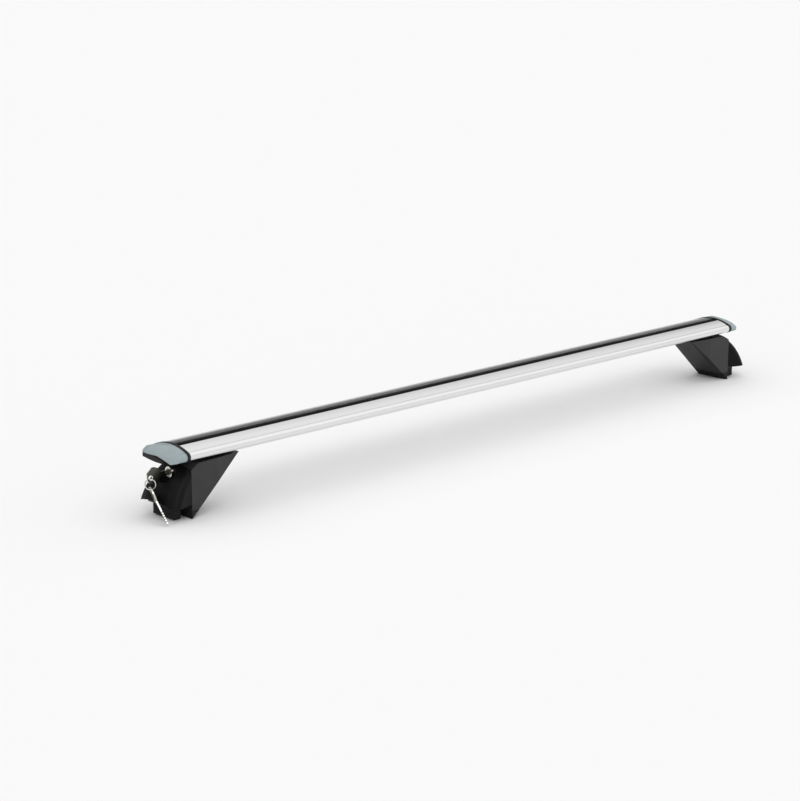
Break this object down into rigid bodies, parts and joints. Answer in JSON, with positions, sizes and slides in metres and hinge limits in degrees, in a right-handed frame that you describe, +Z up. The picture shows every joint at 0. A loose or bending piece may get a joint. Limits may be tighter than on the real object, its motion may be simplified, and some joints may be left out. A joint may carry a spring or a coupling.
{
  "type": "roof rack crossbar",
  "caption": "Aluminium wing crossbar for a car roof on lockable plastic feet with rail clamps, end caps and keys.",
  "frame": {"origin": "centre of the whole part, on the surface it stands on", "axes": "+X along the bar towards the end without the key, -Y the leading edge, +Z up"},
  "size_m": [1.2216, 0.0794, 0.1005],
  "materials": {
    "satin_aluminium": "satin anodised, drawn along its length",
    "cap_plastic": "pale blue-grey moulded plastic, half matt",
    "black_plastic": "black moulded plastic, fine grain",
    "claw_plastic": "black glass-filled plastic, ribbed",
    "black_rubber": "black rubber",
    "nickel": "nickel plate",
    "zinc_steel": "zinc plate"
  },
  "bodies": {
    "bar": {"bar": "satin_aluminium", "top_strip": "black_rubber", "left_end_cap": "cap_plastic", "right_end_cap": "cap_plastic", "left_cap_sole": "black_plastic", "right_cap_sole": "black_plastic", "left_cap_gasket": "black_rubber", "right_cap_gasket": "black_rubber"},
    "left_foot": {"left_foot_body": "black_plastic", "left_toe_boot": "black_rubber", "left_saddle_pad": "black_rubber", "left_slot_nuts": "zinc_steel", "left_bar_bolts": "zinc_steel", "left_clamp_nut": "zinc_steel"},
    "left_cover": {"left_foot_cover": "black_plastic", "left_lock_housing": "nickel"},
    "left_lock": {"left_lock_plug": "nickel", "left_lock_cam": "zinc_steel", "key": "nickel"},
    "left_claw": {"left_claw": "claw_plastic", "left_claw_pad": "black_rubber", "left_screw_washer": "zinc_steel"},
    "left_screw": {"left_clamp_screw": "zinc_steel"},
    "right_foot": {"right_foot_body": "black_plastic", "right_toe_boot": "black_rubber", "right_saddle_pad": "black_rubber", "right_slot_nuts": "zinc_steel", "right_bar_bolts": "zinc_steel", "right_clamp_nut": "zinc_steel"},
    "right_cover": {"right_foot_cover": "black_plastic", "right_lock_housing": "nickel"},
    "right_lock": {"right_lock_plug": "nickel", "right_lock_cam": "zinc_steel"},
    "right_claw": {"right_claw": "claw_plastic", "right_claw_pad": "black_rubber", "right_screw_washer": "zinc_steel"},
    "right_screw": {"right_clamp_screw": "zinc_steel"},
    "key_ring": {"key_ring": "nickel"},
    "spare_key": {"spare_key": "nickel"}
  },
  "joints": [
    {"name": "left_foot_slide", "type": "slide", "parent": "bar", "child": "left_foot", "axis": [1, 0, 0], "range_m": [-0.015, 0.15]},
    {"name": "left_cover_pull", "type": "slide", "parent": "left_foot", "child": "left_cover", "axis": [-1, 0, 0], "range_m": [0, 0.05]},
    {"name": "left_lock_turn", "type": "hinge", "parent": "left_cover", "child": "left_lock", "pos_m": [-0.57402, 0, 0.0615], "axis": [-1, 0, 0], "range_deg": [0, 90]},
    {"name": "left_claw_slide", "type": "slide", "parent": "left_foot", "child": "left_claw", "axis": [1, 0, 0], "range_m": [0, 0.008]},
    {"name": "left_screw_turn", "type": "hinge", "parent": "left_claw", "child": "left_screw", "pos_m": [-0.58402, 0, 0.027], "axis": [1, 0, 0], "range_deg": [0, 2304]},
    {"name": "right_foot_slide", "type": "slide", "parent": "bar", "child": "right_foot", "axis": [-1, 0, 0], "range_m": [-0.015, 0.15]},
    {"name": "right_cover_pull", "type": "slide", "parent": "right_foot", "child": "right_cover", "axis": [1, 0, 0], "range_m": [0, 0.05]},
    {"name": "right_lock_turn", "type": "hinge", "parent": "right_cover", "child": "right_lock", "pos_m": [0.58598, 0, 0.0615], "axis": [1, 0, 0], "range_deg": [0, 90]},
    {"name": "right_claw_slide", "type": "slide", "parent": "right_foot", "child": "right_claw", "axis": [-1, 0, 0], "range_m": [0, 0.008]},
    {"name": "right_screw_turn", "type": "hinge", "parent": "right_claw", "child": "right_screw", "pos_m": [0.59598, 0, 0.027], "axis": [-1, 0, 0], "range_deg": [0, 2304]},
    {"name": "ring_swing", "type": "hinge", "parent": "left_lock", "child": "key_ring", "pos_m": [-0.60422, 0, 0.05755], "axis": [1, 0, 0], "range_deg": [-15, 15]},
    {"name": "spare_key_swing", "type": "hinge", "parent": "key_ring", "child": "spare_key", "pos_m": [-0.60422, 0, 0.04315], "axis": [1, 0, 0], "range_deg": [-3, 80]}
  ],
  "couplings": [
    {"joint": "left_screw_turn", "follows": "left_claw_slide", "rad_per_m": 5026.5},
    {"joint": "right_screw_turn", "follows": "right_claw_slide", "rad_per_m": 5026.5}
  ]
}
